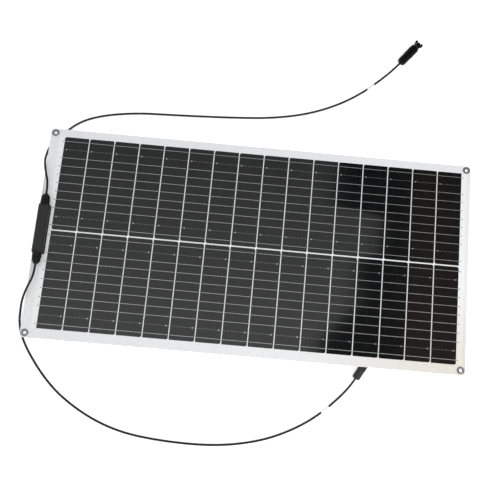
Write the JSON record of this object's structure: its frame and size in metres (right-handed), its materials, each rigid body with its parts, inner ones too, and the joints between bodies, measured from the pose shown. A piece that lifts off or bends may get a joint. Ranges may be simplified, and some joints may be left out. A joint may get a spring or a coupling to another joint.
{
  "type": "flexible solar sheet",
  "caption": "Thin flexible solar panel with dark wafers laminated in white plastic, corner eyelets, a slim junction box and two leads with plug and socket connectors.",
  "frame": {"origin": "under the centre of the four eyelets, on the surface that the leads and connectors lie on, 12 mm below the panel's back face", "axes": "+X along the panel's long side away from the junction box, +Y across it towards lead A's side, +Z out of the cell side"},
  "size_m": [0.8089, 0.82, 0.0316],
  "materials": {
    "back_sheet": "white back sheet with a fine texture",
    "encapsulant": "clear cast layer",
    "front_film": "clear embossed front film",
    "solar_cell": "dark blue-black wafer with silver fingers",
    "tinned_ribbon": "tinned flat ribbon",
    "eyelet_metal": "dull plated metal",
    "box_adhesive": "black bonding pad",
    "box_plastic": "black moulded plastic, fine grain",
    "seal_rubber": "black seal rubber",
    "contact_metal": "plated contact metal",
    "diode_plastic": "black cast body",
    "gland_plastic": "black moulded plastic",
    "lead_jacket": "black satin cable jacket",
    "marker_sleeve": "white shrunk sleeve",
    "connector_plastic": "black moulded plastic"
  },
  "bodies": {
    "section_1": {"back_sheet_1": "back_sheet", "encapsulant_1": "encapsulant", "front_film_1": "front_film", "cells_1": "solar_cell", "ribbons_1": "tinned_ribbon", "end_busbars_left": "tinned_ribbon", "output_ribbons": "tinned_ribbon", "eyelets_left": "eyelet_metal", "eyelet_washers_left": "eyelet_metal", "box_adhesive": "box_adhesive", "box_base": "box_plastic", "box_gasket": "seal_rubber", "box_terminals": "contact_metal", "bypass_diodes": "diode_plastic", "gland_body_a": "gland_plastic", "gland_body_b": "gland_plastic", "gland_seal_a": "seal_rubber", "gland_seal_b": "seal_rubber", "inner_lead_a": "lead_jacket", "inner_lead_b": "lead_jacket", "lead_a": "lead_jacket", "lead_b": "lead_jacket", "lead_marker_a": "marker_sleeve", "lead_marker_b": "marker_sleeve", "plug_housing": "connector_plastic", "plug_contact": "contact_metal", "plug_seal": "seal_rubber", "plug_lead_end": "lead_jacket", "socket_housing": "connector_plastic", "socket_contact": "contact_metal", "socket_seal": "seal_rubber", "socket_lead_end": "lead_jacket"},
    "section_2": {"back_sheet_2": "back_sheet", "encapsulant_2": "encapsulant", "front_film_2": "front_film", "cells_2": "solar_cell", "ribbons_2": "tinned_ribbon"},
    "section_3": {"back_sheet_3": "back_sheet", "encapsulant_3": "encapsulant", "front_film_3": "front_film", "cells_3": "solar_cell", "ribbons_3": "tinned_ribbon"},
    "section_4": {"back_sheet_4": "back_sheet", "encapsulant_4": "encapsulant", "front_film_4": "front_film", "cells_4": "solar_cell", "ribbons_4": "tinned_ribbon", "end_busbar_right": "tinned_ribbon", "eyelets_right": "eyelet_metal", "eyelet_washers_right": "eyelet_metal"},
    "box_lid": {"box_lid": "box_plastic"},
    "gland_nut_a": {"gland_nut_a": "gland_plastic"},
    "gland_nut_b": {"gland_nut_b": "gland_plastic"},
    "plug_nut": {"plug_nut": "connector_plastic"},
    "socket_nut": {"socket_nut": "connector_plastic"},
    "plug_latch_left": {"plug_latch_left": "connector_plastic"},
    "plug_latch_right": {"plug_latch_right": "connector_plastic"}
  },
  "joints": [
    {"name": "flex_1", "type": "hinge", "parent": "section_1", "child": "section_2", "pos_m": [-0.1842, 0, 0.01315], "axis": [0, -1, 0], "range_deg": [0, 10], "stiffness_Nm_per_rad": 8},
    {"name": "flex_2", "type": "hinge", "parent": "section_2", "child": "section_3", "pos_m": [0.005, 0, 0.01315], "axis": [0, -1, 0], "range_deg": [0, 10], "stiffness_Nm_per_rad": 8},
    {"name": "flex_3", "type": "hinge", "parent": "section_3", "child": "section_4", "pos_m": [0.1942, 0, 0.01315], "axis": [0, -1, 0], "range_deg": [0, 10], "stiffness_Nm_per_rad": 8},
    {"name": "lid_lift", "type": "slide", "parent": "section_1", "child": "box_lid", "axis": [0, 0, 1], "range_m": [0, 0.02]},
    {"name": "gland_nut_a_turn", "type": "hinge", "parent": "section_1", "child": "gland_nut_a", "pos_m": [-0.389, 0.046, 0.0232], "axis": [0, 1, 0], "continuous": true},
    {"name": "gland_nut_b_turn", "type": "hinge", "parent": "section_1", "child": "gland_nut_b", "pos_m": [-0.389, -0.046, 0.0232], "axis": [0, -1, 0], "continuous": true},
    {"name": "plug_nut_turn", "type": "hinge", "parent": "section_1", "child": "plug_nut", "pos_m": [0.2558, 0.4072, 0.0084], "axis": [0.6159, 0.7879, 0], "continuous": true},
    {"name": "socket_nut_turn", "type": "hinge", "parent": "section_1", "child": "socket_nut", "pos_m": [0.2036, -0.2212, 0.0074], "axis": [0.4955, 0.8686, 0], "continuous": true},
    {"name": "latch_left_squeeze", "type": "hinge", "parent": "section_1", "child": "plug_latch_left", "pos_m": [0.28142, 0.44785, 0.0084], "axis": [0, 0, -1], "range_deg": [0, 4], "stiffness_Nm_per_rad": 0.5},
    {"name": "latch_right_squeeze", "type": "hinge", "parent": "section_1", "child": "plug_latch_right", "pos_m": [0.28906, 0.44187, 0.0084], "axis": [0, 0, 1], "range_deg": [0, 4], "stiffness_Nm_per_rad": 0.5}
  ]
}
